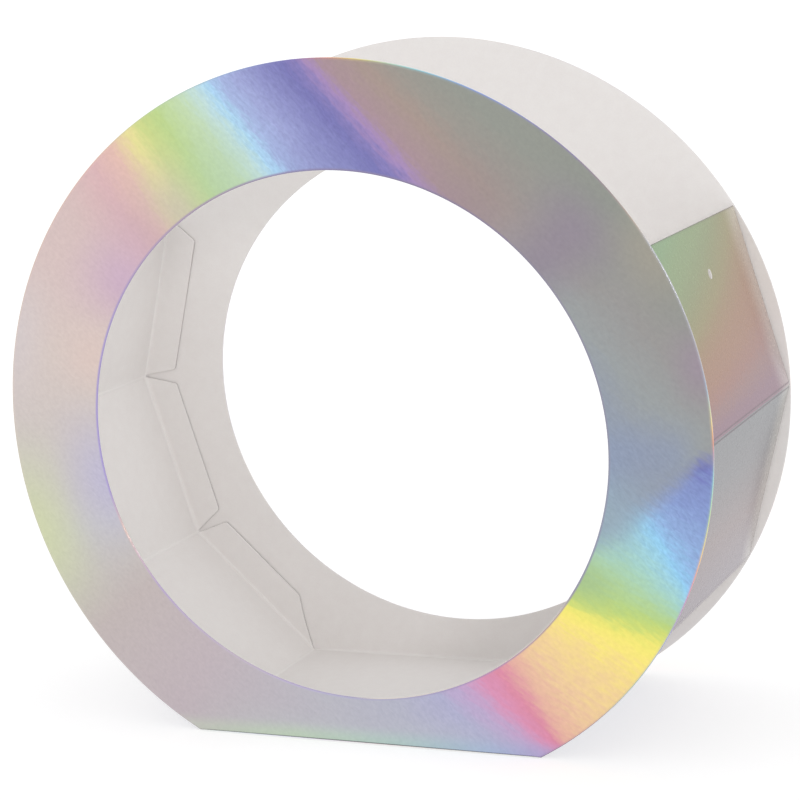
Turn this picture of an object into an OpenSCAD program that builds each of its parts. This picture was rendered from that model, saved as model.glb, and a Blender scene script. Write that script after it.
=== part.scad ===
// Ring-shaped gift box, folded from one creased blank of film-faced board.
// X runs to the right, Y to the back and Z up, from the middle of the base's underside.

/* [Ring panels] */
// Width of the front and back rings, which are slightly oval
ring_w = 300; // [260:1:340]
// Height of the same oval, before the flat base cuts it off
ring_h = 291; // [260:1:340]
// Width of a ring, from its rim to its window
rim_w = 40.5; // [34:0.5:60]
// Drop of the window's centre below the ring's centre
window_drop = 2; // [0:0.5:6]
// Length of the flat base
base_l = 150; // [130:1:170]

/* [Walls] */
// Depth of the box over the faces of both rings
depth = 108; // [80:1:150]
// Turn around the oval from one wall corner to the next, in degrees
wall_turn = 30; // [26:0.5:34]
// Diameter of the ribbon hole in each upper wall
hole_d = 4; // [2:0.5:8]
// Distance of the ribbon hole from the upper wall's free edge
hole_inset = 20; // [10:0.5:40]

/* [Glue tabs] */
// Width of a tab, from its crease to its tip
tab_w = 15; // [10:0.5:20]
// Length along the crease that a tab's slanted end takes
tab_slant = 7.5; // [5:0.5:14]
// Gap between a tab's root and the end of its wall
tab_relief = 0.3; // [0.2:0.1:3]
// Rounding of a tab's tip corners
tab_round = 1; // [0.5:0.5:4]
// Cut between a lower tab and the rim of its ring, in the flat blank
blank_cut = 0.5; // [0.3:0.1:2]

/* [Adhesive tape] */
// Width of the double-sided tape on a tab
tape_w = 8; // [4:0.5:9]
// Distance of the tape's ends from the tab's tip corners
tape_margin = 4; // [2:0.5:8]
// Thickness of the tape
tape_t = 0.15; // [0.1:0.05:0.3]
// Clearance between the tape and the ring that it grips
tape_gap = 0.05; // [0.02:0.01:0.2]

/* [Sheet] */
// Thickness of the white board
board_t = 0.55; // [0.3:0.05:1]
// Thickness of the holographic film on the board's outside
film_t = 0.05; // [0.03:0.01:0.1]
// Radius of the channel that a creasing rule presses along each fold
crease_r = 0.2; // [0.1:0.05:0.3]

/* [Hidden] */
$fn = 64;
SIDES = ["left", "right"];
LEVELS = ["lower", "middle", "upper"];
EDGES = ["front", "back"];
LAYERS = ["film", "board"];

film_colour = "#C3BCD0";
board_colour = "#E4DFDB";
tape_colour = "#F4F1E6";

sheet_t = film_t + board_t;
ring_rx = ring_w / 2;
ring_rz = ring_h / 2;
base_turn = asin(base_l / ring_w);
ring_z = ring_rz * cos(base_turn);
// The walls stop short of the rings' faces by the ring's sheet and the tape
wall_inset = sheet_t + tape_gap + tape_t;
wall_w = depth - 2 * wall_inset;
ring_fold = 90;
top_level = len(LEVELS) - 1;
oval_sides = 240;
tab_arc_steps = 8;
// A cutter reaches this far past the face that it cuts
overcut = 1;

// Depths below the outer face between which a layer of the sheet lies
function span_of(layer) = layer == "film" ? [0, film_t] : [film_t, sheet_t];
function colour_of(layer) = layer == "film" ? film_colour : board_colour;

// Point of an oval at a turn around it, in X and Z from its centre
function oval_point(rx, rz, turn) = [rx * cos(turn), rz * sin(turn)];
function oval(rx, rz) = [for (side = [0 : oval_sides - 1]) oval_point(rx, rz, 360 * side / oval_sides)];

// Corner of the wall strip at the foot of a level, and the length, slope and folds of that wall
function corner(level) = [0, ring_z] + oval_point(ring_rx, ring_rz, base_turn - 90 + level * wall_turn);
function wall_run(level) = corner(level + 1) - corner(level);
function wall_l(level) = norm(wall_run(level));
function wall_slope(level) = atan2(wall_run(level).y, wall_run(level).x);
function foot_fold(level) = level == 0 ? wall_slope(0) : wall_slope(level) - wall_slope(level - 1);
function head_fold(level) = level == top_level ? 0 : foot_fold(level + 1);

// Section of a sheet whose two ends are mitred to half of their folds
function mitred_section(length, start_fold, end_fold, span) = [
    [span[0] * tan(start_fold / 2), span[0]],
    [length - span[0] * tan(end_fold / 2), span[0]],
    [length - span[1] * tan(end_fold / 2), span[1]],
    [span[1] * tan(start_fold / 2), span[1]]
];

// Corner of an outline, eased over a length to each side of it
function eased(before, at, after, reach) =
    let (back = (before - at) / norm(before - at), ahead = (after - at) / norm(after - at))
    [for (share = [0 : 0.25 : 1]) at + reach * (back * pow(1 - share, 2) + ahead * pow(share, 2))];

// Distance along the crease at which a lower tab clears its ring's rim in the flat blank
function rim_clear(out) =
    let (drop = (ring_z + wall_inset - out) / (ring_rz + blank_cut))
    (ring_rx + blank_cut) * sqrt(1 - drop * drop) - base_l / 2;
function tab_foot(level) = level == 0
    ? [for (step = [0 : tab_arc_steps])
        let (out = step * tab_w / tab_arc_steps) [max(tab_relief, rim_clear(out)), out]]
    : [[tab_relief, 0], [tab_slant, tab_w]];

// Outline of a flat tab: X along its crease and Y away from it
function tab_outline(level) =
    let (
        foot = tab_foot(level),
        last = len(foot) - 1,
        head = [[wall_l(level) - tab_slant, tab_w], [wall_l(level) - tab_relief, 0]]
    )
    concat(
        [for (step = [0 : last - 1]) foot[step]],
        eased(foot[last - 1], foot[last], head[0], tab_round),
        eased(foot[last], head[0], head[1], tab_round),
        [head[1]]
    );

// Channel along a fold, drawn along X and reaching past both of its ends
module crease(length) {
    rotate([0, 90, 0])
        cylinder(h = length + 2 * overcut, r = crease_r, center = true);
}

// Sheet of a length in X and a width in Y, its outer face down, creased along its folded edges
module creased_sheet(length, width, foot, head, sides, span) {
    difference() {
        intersection() {
            rotate([90, 0, 0])
                linear_extrude(width, center = true)
                    polygon(mitred_section(length, foot, head, span));
            rotate([90, 0, 90])
                linear_extrude(length)
                    translate([-width / 2, 0])
                        polygon(mitred_section(width, sides, sides, span));
        }
        for (end = head > 0 ? [0, length] : [0])
            translate([end, 0, 0])
                rotate([0, 0, 90])
                    crease(width);
        for (edge = [-width / 2, width / 2])
            translate([length / 2, edge, 0])
                crease(length);
    }
}

module mirrored_if(swap, across) {
    if (swap)
        mirror(across) children();
    else
        children();
}

// Carries a flat wall, drawn from its foot crease, to its place in the strip
module at_wall(side, level) {
    mirrored_if(side == "left", [1, 0, 0])
        translate([corner(level).x, 0, corner(level).y])
            rotate([0, -wall_slope(level), 0])
                children();
}

// Carries a flat tab, drawn from its crease, to its folded place on a wall
module at_tab(side, level, edge) {
    at_wall(side, level)
        mirrored_if(edge == "front", [0, 1, 0])
            translate([0, wall_w / 2, 0])
                rotate([90, 0, 0])
                    children();
}

module base(layer) {
    color(colour_of(layer))
        translate([-base_l / 2, 0, 0])
            creased_sheet(base_l, depth, foot_fold(0), foot_fold(0), ring_fold, span_of(layer));
}

// Section of a ring's sheet in Y and Z, with its foot mitred to the base
function ring_section(span) =
    let (height = ring_z + ring_rz + overcut, mitre = tan(ring_fold / 2))
    [[span[0], span[0] * mitre], [span[1], span[1] * mitre], [span[1], height], [span[0], height]];

// Upright oval that reaches past both faces of a ring's sheet
module ring_oval(rx, rz, drop) {
    translate([0, sheet_t + overcut, ring_z - drop])
        rotate([90, 0, 0])
            linear_extrude(sheet_t + 2 * overcut)
                polygon(oval(rx, rz));
}

module ring(edge, layer) {
    color(colour_of(layer))
        mirrored_if(edge == "back", [0, 1, 0])
            translate([0, -depth / 2, 0])
                difference() {
                    intersection() {
                        ring_oval(ring_rx, ring_rz, 0);
                        rotate([90, 0, 90])
                            linear_extrude(ring_w + 2 * overcut, center = true)
                                polygon(ring_section(span_of(layer)));
                    }
                    ring_oval(ring_rx - rim_w, ring_rz - rim_w, window_drop);
                    crease(base_l);
                }
}

module wall(side, level, layer) {
    color(colour_of(layer))
        at_wall(side, level)
            difference() {
                creased_sheet(
                    wall_l(level), wall_w, foot_fold(level), head_fold(level), ring_fold, span_of(layer)
                );
                if (level == top_level)
                    translate([wall_l(level) - hole_inset, 0, -overcut])
                        cylinder(h = sheet_t + 2 * overcut, d = hole_d);
            }
}

module tab(side, level, edge, layer) {
    span = span_of(layer);
    color(colour_of(layer))
        at_tab(side, level, edge)
            difference() {
                intersection() {
                    translate([0, 0, span[0]])
                        linear_extrude(span[1] - span[0])
                            polygon(tab_outline(level));
                    rotate([90, 0, 90])
                        linear_extrude(wall_l(level))
                            polygon(mitred_section(tab_w, ring_fold, 0, span));
                }
                translate([wall_l(level) / 2, 0, 0])
                    crease(wall_l(level));
            }
}

module tape(side, level, edge) {
    foot = tab_foot(level);
    start = foot[len(foot) - 1].x + tape_margin;
    color(tape_colour)
        at_tab(side, level, edge)
            translate([start, (tab_w - tape_w) / 2, -tape_t])
                cube([wall_l(level) - tab_slant - tape_margin - start, tape_w, tape_t]);
}

for (layer = LAYERS) {
    base(layer);
    for (edge = EDGES)
        ring(edge, layer);
}

for (side = SIDES, level = [0 : top_level]) {
    prefix = str(side, "_", LEVELS[level]);
    for (layer = LAYERS)
        wall(side, level, layer);
    for (edge = EDGES) {
        for (layer = LAYERS)
            tab(side, level, edge, layer);
        tape(side, level, edge);
    }
}
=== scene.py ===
import math

import bmesh
import bpy
from mathutils import Matrix, Vector


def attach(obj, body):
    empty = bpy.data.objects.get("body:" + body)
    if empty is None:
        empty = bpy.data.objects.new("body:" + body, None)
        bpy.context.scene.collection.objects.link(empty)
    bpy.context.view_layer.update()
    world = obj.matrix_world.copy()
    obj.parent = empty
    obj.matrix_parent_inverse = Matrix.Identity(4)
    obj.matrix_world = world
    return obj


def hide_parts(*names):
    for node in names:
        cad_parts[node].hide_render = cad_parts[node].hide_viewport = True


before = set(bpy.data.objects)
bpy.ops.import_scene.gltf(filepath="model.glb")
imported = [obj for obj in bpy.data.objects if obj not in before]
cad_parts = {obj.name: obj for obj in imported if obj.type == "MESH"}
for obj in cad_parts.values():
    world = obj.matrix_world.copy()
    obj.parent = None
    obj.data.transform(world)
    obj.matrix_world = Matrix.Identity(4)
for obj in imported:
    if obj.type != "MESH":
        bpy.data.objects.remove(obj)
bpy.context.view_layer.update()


# Base
# The flat foot of the box, from which every other panel of the one-piece blank is folded up.
# It is white board with holographic film on its outside, so it shines below and is plain inside.
# All four edges are creases: a pressed groove outside, and a raised bead inside.
MM = 0.001
BOARD_T = 0.55
FILM_T = 0.05
SHEET_T = BOARD_T + FILM_T
DEPTH = 108.0
BASE_L = 150.0
RING_RX = 150.0
RING_RZ = 145.5
BASE_TURN = math.asin(BASE_L / (2 * RING_RX))
RING_Z = RING_RZ * math.cos(BASE_TURN)
FOOT_TURN = BASE_TURN - math.pi / 2
WALL_TURN = math.radians(30)
BASE_FOLD = math.atan2(RING_Z + RING_RZ * math.sin(FOOT_TURN + WALL_TURN),
                       RING_RX * math.cos(FOOT_TURN + WALL_TURN) - BASE_L / 2)
RING_FOLD_R = 0.7
# How far the fold at the rings' foot takes the dark edge colour: wear, and a painted contact shadow along
# the foot
RING_FOLD_WEAR_AND_SHADE = 1.0
FOLD_FLAT = 0.6
CREASE_DEPTH = 0.16
BEAD_H = 0.25
SHARP_TURN = math.radians(40)
# Half of the groove's section: reach from the mitre in mm, depth in mm, and the wear of its film with
# painted shade on the groove's shoulders
GROOVE_LINE = [(0, CREASE_DEPTH, 0), (0.6, CREASE_DEPTH, 0.1), (0.76, 0.1, 0.9), (0.92, 0.02, 1),
               (1.15, -0.03, 1), (1.4, 0, 0.1), (1.8, 0, 0)]
# Half of the bead's section: reach from the mitre in mm, share of its height, and how far it is burnished
# and lit by a painted highlight
BEAD_LINE = [(0, 1, 1), (0.2, 1.02, 0.9), (0.42, 0.85, 0.5), (0.62, 0.45, 0.1), (0.8, 0.12, 0),
             (1.05, 0, 0), (1.7, 0, 0)]
BEAD_RUB_AND_HIGHLIGHT = [rub_and_painted_light for reach, rise, rub_and_painted_light in BEAD_LINE]
# Wear and painted shade on the outside of a square fold, in equal steps from the mitre round the bend and
# then on the flat
FOLD_WEAR_AND_SHADE = [1, 1, 0.9, 0.6, 0.3, 0, 0]
# A punched hole sits in a square patch of cells, and uses the first lines of its cut edge
PATCH_CELLS = 8
PATCH_CELL = 1.0
PATCH_LINES = 5


def tone(code):
    """Linear colour of an sRGB hex value."""
    shares = [int(code[i:i + 2], 16) / 255 for i in (1, 3, 5)]
    return [s / 12.92 if s <= 0.04045 else ((s + 0.055) / 1.055) ** 2.4 for s in shares] + [1.0]


def add(tree, kind, inputs=None, **settings):
    """Adds a node with its settings. An input is a value, a socket, or a node whose first output is meant.
    Inputs go by name or number. A Mix has its share at 0, numbers at 2 and 3, vectors at 4 and 5, colours at
    6 and 7. A Map Range has its value at 0, the range it is in at 1 and 2, and the new one at 3 and 4."""
    made = tree.nodes.new(kind)
    for key, value in settings.items():
        setattr(made, key, value)
    for key, value in (inputs or {}).items():
        if isinstance(value, bpy.types.Node):
            value = next(socket for socket in value.outputs if socket.enabled)
        if isinstance(value, bpy.types.NodeSocket):
            tree.links.new(value, made.inputs[key])
        else:
            made.inputs[key].default_value = value
    return made


def lay_stops(ramp, stops, first=0.0, last=1.0):
    """Sets a colour ramp's stops, given as (place, hex colour) with places from first to last."""
    ends = ramp.color_ramp.elements
    while len(ends) < len(stops):
        ends.new(1.0)
    for end, (place, code) in zip(ends, stops):
        end.position = (place - first) / (last - first)
        end.color = tone(code)


def beneath(row):
    """The line one film thickness below a face line, which is given as (inset, depth) from an edge."""
    lower = []
    for i, (inset, depth) in enumerate(row):
        before, after = row[max(i - 1, 0)], row[min(i + 1, len(row) - 1)]
        run, drop = after[0] - before[0], after[1] - before[1]
        reach = math.hypot(run, drop)
        lower.append((inset - FILM_T * drop / reach, depth + FILM_T * run / reach))
    return lower


def creased_edge(fold):
    """Lines at a crease, as (inset, depth) from the fold's corner line: the face with the wear of its film
    and painted shade on the groove's shoulders, and the back with the burnish of its board and a painted
    highlight on its bead."""
    lean = math.tan(fold / 2)
    outer, inner = CREASE_DEPTH * lean, (SHEET_T + BEAD_H) * lean
    face = [(outer + reach, depth) for reach, depth, worn_and_shaded in GROOVE_LINE]
    back = [(inner + reach, SHEET_T + BEAD_H * rise) for reach, rise, rub_and_painted_light in BEAD_LINE]
    return face, [worn_and_shaded for reach, depth, worn_and_shaded in GROOVE_LINE], back, BEAD_RUB_AND_HIGHLIGHT


def folded_edge(radius, worn_and_shaded):
    """The same lines at a square fold, whose outside is bent to a radius and darkened up to the mitre by
    wear and painted shade.
    """
    bends = len(FOLD_WEAR_AND_SHADE) - 2
    turns = [math.radians(45 - 45 / bends * step) for step in range(bends + 1)]
    face = [(radius * (1 - math.sin(turn)), radius * (1 - math.cos(turn))) for turn in turns]
    face.append((radius + FOLD_FLAT, 0))
    back = [(SHEET_T + BEAD_H + reach, SHEET_T + BEAD_H * rise) for reach, rise, rub_and_painted_light in BEAD_LINE]
    return face, [share * worn_and_shaded for share in FOLD_WEAR_AND_SHADE], back, BEAD_RUB_AND_HIGHLIGHT


def layer_lines(edge, layer):
    """Upper and lower line of the film or of the board at an edge, then the marks of each: wear with painted
    shade on the film, burnish with a painted highlight on the board.
    """
    face, face_wear_and_shade, back, back_rub_and_highlight = edge
    plain = [0.0] * len(face)
    if layer == "film":
        return face, beneath(face), face_wear_and_shade, plain
    return beneath(face), back, plain, back_rub_and_highlight


def panel(name, layer, ends, sides, length, low, high, place, stops=(), punch=None):
    """A closed sheet between two ends and two sides, each with its own edge, as a mesh in the shared frame.
    low and high give the sides' places along the length, and place turns (along, across, depth) into the
    frame. stops are further lines along the length, and punch is a hole's (along, across, radius, edge)."""
    top, bottom = (0.0, FILM_T) if layer == "film" else (FILM_T, SHEET_T)
    near, far = layer_lines(ends[0], layer), layer_lines(ends[1], layer)
    left, right = layer_lines(sides[0], layer), layer_lines(sides[1], layer)
    patch = [(step - PATCH_CELLS / 2) * PATCH_CELL for step in range(PATCH_CELLS + 1)] if punch else []
    lines = sorted([*stops, *(punch[0] + step for step in patch)])
    marks = [(punch[1] + step - low(0)) / (high(0) - low(0)) for step in patch]

    mesh = bmesh.new()
    worn_and_shaded = mesh.verts.layers.float.new("wear")

    def point(a, b, d, wear):
        made = mesh.verts.new(place(a, b, d))
        made[worn_and_shaded] = wear
        return made

    grids = []
    for face, level in ((0, top), (1, bottom)):
        along = [(a, d, wear) for (a, d), wear in zip(near[face], near[face + 2])]
        along += [(a, level, 0.0) for a in lines]
        along += [(length - a, d, wear) for (a, d), wear in zip(far[face], far[face + 2])][::-1]
        across = [(0.0, b, d, wear) for (b, d), wear in zip(left[face], left[face + 2])]
        across += [(share, 0.0, level, 0.0) for share in marks]
        across += [(1.0, -b, d, wear) for (b, d), wear in zip(right[face], right[face + 2])][::-1]
        grids.append([[point(a, low(a) + share * (high(a) - low(a)) + b, d + e - level, max(wear, rub_and_painted_light))
                       for share, b, e, rub_and_painted_light in across] for a, d, wear in along])
    faces, backs = grids
    rows, columns = len(faces), len(faces[0])
    first_row = len(near[0]) + lines.index(punch[0] + patch[0]) if punch else rows
    first_column = len(left[0]) if punch else columns
    for grid in grids:
        for i in range(rows - 1):
            for j in range(columns - 1):
                if 0 <= i - first_row < PATCH_CELLS and 0 <= j - first_column < PATCH_CELLS:
                    continue
                mesh.faces.new((grid[i][j], grid[i + 1][j], grid[i + 1][j + 1], grid[i][j + 1]))
    rim = [(0, j) for j in range(columns)] + [(i, columns - 1) for i in range(1, rows)]
    rim += [(rows - 1, j) for j in range(columns - 2, -1, -1)] + [(i, 0) for i in range(rows - 2, 0, -1)]
    for (i, j), (k, m) in zip(rim, rim[1:] + rim[:1]):
        mesh.faces.new((faces[i][j], faces[k][m], backs[k][m], backs[i][j]))

    if punch:
        hole_a, hole_b, radius, edge = punch
        last = PATCH_CELLS
        square = [(0, j) for j in range(last)] + [(i, last) for i in range(last)]
        square += [(last, last - j) for j in range(last)] + [(last - i, 0) for i in range(last)]
        turns = [math.radians(225 + 360 / len(square) * step) for step in range(len(square))]
        cut = layer_lines(edge, layer)
        mouths = []
        for grid, row in ((faces, cut[0]), (backs, cut[1])):
            loops = []
            for inset, depth in row[:PATCH_LINES]:
                reach = radius + inset
                spots = [(reach * math.sin(turn), reach * math.cos(turn)) for turn in turns]
                loops.append([point(hole_a + a, hole_b + b, depth, 0.0) for a, b in spots])
            loops.append([grid[first_row + i][first_column + j] for i, j in square])
            for inner, outer in zip(loops, loops[1:]):
                for k in range(len(square)):
                    mesh.faces.new((inner[k], inner[k - 1], outer[k - 1], outer[k]))
            mouths.append(loops[0])
        for k in range(len(square)):
            mesh.faces.new((mouths[0][k], mouths[0][k - 1], mouths[1][k - 1], mouths[1][k]))
    return settle(name, mesh)


def settle(name, mesh):
    """Turns a closed sheet's faces outwards, smooths its bends and puts it in the scene."""
    bmesh.ops.recalc_face_normals(mesh, faces=mesh.faces)
    data = bpy.data.meshes.new(name)
    mesh.to_mesh(data)
    mesh.free()
    data.shade_smooth()
    data.set_sharp_from_angle(angle=SHARP_TURN)
    piece = bpy.data.objects.new(name, data)
    bpy.context.scene.collection.objects.link(piece)
    return piece


# Solid bleached board, calendered but uncoated: matt, slightly warm white, with faint cloudy fibre flocs.
# The felt grain is drawn coarser than the real one, so that it shows. Beads are burnished lighter and carry
# a painted highlight.
FLOC_W = 4.0
GRAIN_W = 0.7
FELT_DEPTH = 0.02
white_board = bpy.data.materials.new("white_board_uncoated")
white_board.use_nodes = True
tree = white_board.node_tree
spot = add(tree, "ShaderNodeTexCoord").outputs["Object"]
flocs = add(tree, "ShaderNodeTexNoise", {"Vector": spot, "Scale": 1 / (FLOC_W * MM), "Detail": 3.0})
grain = add(tree, "ShaderNodeTexNoise", {"Vector": spot, "Scale": 1 / (GRAIN_W * MM), "Detail": 2.0})
cloud = add(tree, "ShaderNodeMix", {0: 0.45, 2: flocs.outputs["Fac"], 3: grain.outputs["Fac"]})
shade = add(tree, "ShaderNodeValToRGB", {0: cloud})
lay_stops(shade, [(0.3, "#E4E0DE"), (0.7, "#E8E5E3")])
# Beads are lighter: burnished board, and a painted highlight along them
rub_and_painted_light = add(tree, "ShaderNodeAttribute", attribute_name="wear").outputs["Fac"]
burnished_and_highlighted = add(tree, "ShaderNodeMix", {0: rub_and_painted_light, 6: shade.outputs["Color"], 7: tone("#EAE7E5")},
             data_type="RGBA")
matt = add(tree, "ShaderNodeMapRange", {0: cloud, 1: 0.3, 2: 0.7, 3: 0.66, 4: 0.78})
burnished = add(tree, "ShaderNodeMix", {0: rub_and_painted_light, 2: matt, 3: 0.55})
felt = add(tree, "ShaderNodeBump",
           {"Strength": 0.25, "Distance": FELT_DEPTH * MM, "Height": grain.outputs["Fac"]})
shader = tree.nodes["Principled BSDF"]
shader.inputs["IOR"].default_value = 1.5
tree.links.new(burnished_and_highlighted.outputs[2], shader.inputs["Base Color"])
tree.links.new(burnished.outputs[0], shader.inputs["Roughness"])
tree.links.new(felt.outputs["Normal"], shader.inputs["Normal"])

DENT_W = 1.6
GRIT_W = 0.6


def holographic_film(name, paint, depth, mirror, haze):
    """Metallised polyester film with an embossed grating: a satin mirror that splits light into broad bands.
    It takes the board's print of fine dents, drawn wide enough to show, to a depth in mm.
    mirror is how metallic it looks beside its painted bands, and haze is its mean roughness.
    paint gives the colours of its face and of its edges."""
    material = bpy.data.materials.new(name)
    material.use_nodes = True
    tree = material.node_tree
    spot = add(tree, "ShaderNodeTexCoord").outputs["Object"]
    dents = add(tree, "ShaderNodeTexNoise", {"Vector": spot, "Scale": 1 / (DENT_W * MM), "Detail": 4.0})
    grit = add(tree, "ShaderNodeTexNoise", {"Vector": spot, "Scale": 1 / (GRIT_W * MM), "Detail": 1.0})
    colour, edge_colour = paint(tree, spot, dents)
    shade = add(tree, "ShaderNodeValToRGB", {0: dents.outputs["Fac"]})
    lay_stops(shade, [(0.3, "#F2F2F3"), (0.65, "#F8F8F8")])
    dented = add(tree, "ShaderNodeMix", {0: 1.0, 6: colour, 7: shade.outputs["Color"]},
                 data_type="RGBA", blend_type="MULTIPLY")
    wear = add(tree, "ShaderNodeAttribute", attribute_name="wear").outputs["Fac"]
    # At edges the face takes its edge colour: the stretched film's tint, painted shade in creases and folds,
    # and painted glints at the rings' rim
    edge_tinted_and_shaded = add(tree, "ShaderNodeMix", {0: wear, 6: dented.outputs[2], 7: edge_colour}, data_type="RGBA")
    height = add(tree, "ShaderNodeMix", {0: 0.35, 2: dents.outputs["Fac"], 3: grit.outputs["Fac"]})
    relief = add(tree, "ShaderNodeBump", {"Strength": 0.3, "Distance": depth * MM, "Height": height})
    dulled = add(tree, "ShaderNodeMapRange",
                 {0: dents.outputs["Fac"], 1: 0.3, 2: 0.7, 3: 0.8 * haze, 4: 1.2 * haze})
    shader = tree.nodes["Principled BSDF"]
    shader.inputs["Metallic"].default_value = mirror
    shader.inputs["Specular IOR Level"].default_value = 0.1
    tree.links.new(edge_tinted_and_shaded.outputs[2], shader.inputs["Base Color"])
    tree.links.new(dulled.outputs[0], shader.inputs["Roughness"])
    tree.links.new(relief.outputs["Normal"], shader.inputs["Normal"])
    return material


BASE_SLANT = math.radians(28)
BASE_BANDS = 200.0
# The dark colour at film edges: the stretched film's tint at cut edges, and painted shade in creases and
# folds
EDGE_TINT_AND_SHADE = "#6E6068"


def base_paint(tree, spot, dents):
    """Wide pale bands that run aslant under the base."""
    turned = add(tree, "ShaderNodeMapping", {"Vector": spot, "Rotation": (0, 0, BASE_SLANT)})
    way = add(tree, "ShaderNodeSeparateXYZ", {0: turned}).outputs["X"]
    share = add(tree, "ShaderNodeMapRange", {0: way, 1: -BASE_BANDS / 2 * MM, 2: BASE_BANDS / 2 * MM})
    jagged = add(tree, "ShaderNodeMath", {0: dents.outputs["Fac"], 1: 0.05, 2: share},
                 operation="MULTIPLY_ADD")
    bands = add(tree, "ShaderNodeValToRGB", {0: jagged})
    lay_stops(bands, [
        (0.0, "#C2B6B6"), (0.18, "#CDD0B8"), (0.3, "#BFD7A8"), (0.4, "#B9D9E4"), (0.5, "#A7AFD8"),
        (0.58, "#AE98BE"), (0.68, "#B89E99"), (0.82, "#A8A69B"), (1.0, "#9FA6AC")])
    # The base's edges take the dark colour: painted shade in its creases and folds
    edges = add(tree, "ShaderNodeMix", {0: 0.8, 6: bands.outputs["Color"], 7: tone(EDGE_TINT_AND_SHADE)},
                data_type="RGBA")
    return bands.outputs["Color"], edges.outputs[2]


def layers(film):
    """A panel's two layers: the layer and what it is called on its piece, its material and its slot."""
    return ("film", "foil", film, "holographic_film"), ("board", "card", white_board, "white_board")


base_film = holographic_film("holographic_film_base", base_paint, depth=0.02, mirror=0.4, haze=0.13)
for layer, suffix, material, slot in layers(base_film):
    piece = panel(f"base_{suffix}", layer, [creased_edge(BASE_FOLD)] * 2,
                  [folded_edge(RING_FOLD_R, RING_FOLD_WEAR_AND_SHADE)] * 2, BASE_L,
                  lambda a: -DEPTH / 2, lambda a: DEPTH / 2,
                  lambda a, b, d: Vector((a - BASE_L / 2, b, d)) * MM)
    piece.data.materials.append(material)
    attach(piece, "base")
    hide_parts(f"base_{layer}")


# Front and back rings
# The two faces of the box: slightly oval rings of the same film-faced board, cut off straight where they
# fold up from the base. The die has rolled the film's edge over at the rim and at the window.
RIM_W = 40.5
WINDOW_DROP = 2.0
WINDOW_TINT = 0.85
RING_TURNS = 240
BELOW_BASE = -0.001
MERGE_GAP = 0.0005
# A die-cut edge's face: inset in mm, and share of the depth to which the knife draws the film down
CUT_FACE = [(0, 1), (0.04, 0.57), (0.11, 0.27), (0.22, 0.08), (0.4, 0), (0.75, 0), (1.1, 0)]
# Its back, which the knife only eases: inset and depth in mm
CUT_BACK = [(0, 0.4), (0.01, 0.5), (0.05, 0.56), (0.13, 0.59), (0.3, SHEET_T), (1.0, SHEET_T),
            (2.0, SHEET_T)]


def cut_edge(drawn=0.3, tinted=0.2):
    """Lines at a die-cut edge, over which the knife has drawn the film down by some depth.
    tinted is how much of the stretched film's tint is left where the face becomes flat."""
    face = [(inset, share * drawn) for inset, share in CUT_FACE]
    wear = [1.0, 1.0, 1.0, (1 + tinted) / 2, tinted, 0.6 * tinted, 0.0]
    return face, wear, CUT_BACK, [0.0] * len(CUT_BACK)


def ring_section(rim_edge, layer, name):
    """A ring's section as loose points: X is the share of the way from rim to window, Y an inset from there,
    and Z the depth below the face."""
    rim, window = layer_lines(rim_edge, layer), layer_lines(cut_edge(tinted=WINDOW_TINT), layer)
    levels = (0.0, FILM_T) if layer == "film" else (FILM_T, SHEET_T)
    loop, wear = [], []
    for side in (0, 1):
        middle = [(share, 0.0, levels[side]) for share in (0.25, 0.5, 0.75)]
        row = [(0.0, i, d) for i, d in rim[side]] + middle + [(1.0, -i, d) for i, d in window[side][::-1]]
        row_wear_and_shade = [*rim[side + 2], *(0.0 for share in middle), *window[side + 2][::-1]]
        loop += row if side == 0 else row[::-1]
        wear += row_wear_and_shade if side == 0 else row_wear_and_shade[::-1]
    data = bpy.data.meshes.new(name)
    data.from_pydata([(share, inset * MM, depth * MM) for share, inset, depth in loop], [], [])
    data.attributes.new("wear", "FLOAT", "POINT").data.foreach_set("value", wear)
    section = bpy.data.objects.new(name, data)
    bpy.context.scene.collection.objects.link(section)
    return section


# The tree turns the section around the oval; below the base line it takes the foot's section instead.
ring_tree = bpy.data.node_groups.new("ring_panel", "GeometryNodeTree")
for label, kind in (("Half Width", "Float"), ("Half Height", "Float"), ("Rim Width", "Float"),
                    ("Window Drop", "Float"), ("Centre Height", "Float"), ("Face Distance", "Float"),
                    ("Side", "Float"), ("Turns", "Int"), ("Rim Section", "Object"),
                    ("Foot Section", "Object"), ("Finish", "Material")):
    ring_tree.interface.new_socket(label, in_out="INPUT", socket_type=f"NodeSocket{kind}")
ring_tree.interface.new_socket("Geometry", in_out="OUTPUT", socket_type="NodeSocketGeometry")
given = add(ring_tree, "NodeGroupInput").outputs
rim_info = add(ring_tree, "GeometryNodeObjectInfo", {"Object": given["Rim Section"]}).outputs["Geometry"]
foot_info = add(ring_tree, "GeometryNodeObjectInfo", {"Object": given["Foot Section"]}).outputs["Geometry"]

# A grid with a column for each point of the section and a row for each turn
points = add(ring_tree, "GeometryNodeAttributeDomainSize", {"Geometry": rim_info}).outputs["Point Count"]
wide = add(ring_tree, "ShaderNodeMath", {0: points, 1: 1.0}, operation="ADD")
tall = add(ring_tree, "ShaderNodeMath", {0: given["Turns"], 1: 1.0}, operation="ADD")
grid = add(ring_tree, "GeometryNodeMeshGrid",
           {"Size X": 1.0, "Size Y": 1.0, "Vertices X": wide, "Vertices Y": tall})
where = add(ring_tree, "ShaderNodeSeparateXYZ", {0: add(ring_tree, "GeometryNodeInputPosition")}).outputs
column = add(ring_tree, "ShaderNodeMath", {0: where["X"], 1: 0.5}, operation="ADD")
column = add(ring_tree, "ShaderNodeMath", {0: column, 1: points}, operation="MULTIPLY")
column = add(ring_tree, "ShaderNodeMath", {0: column}, operation="ROUND")
column = add(ring_tree, "ShaderNodeMath", {0: column, 1: points}, operation="FLOORED_MODULO")

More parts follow.
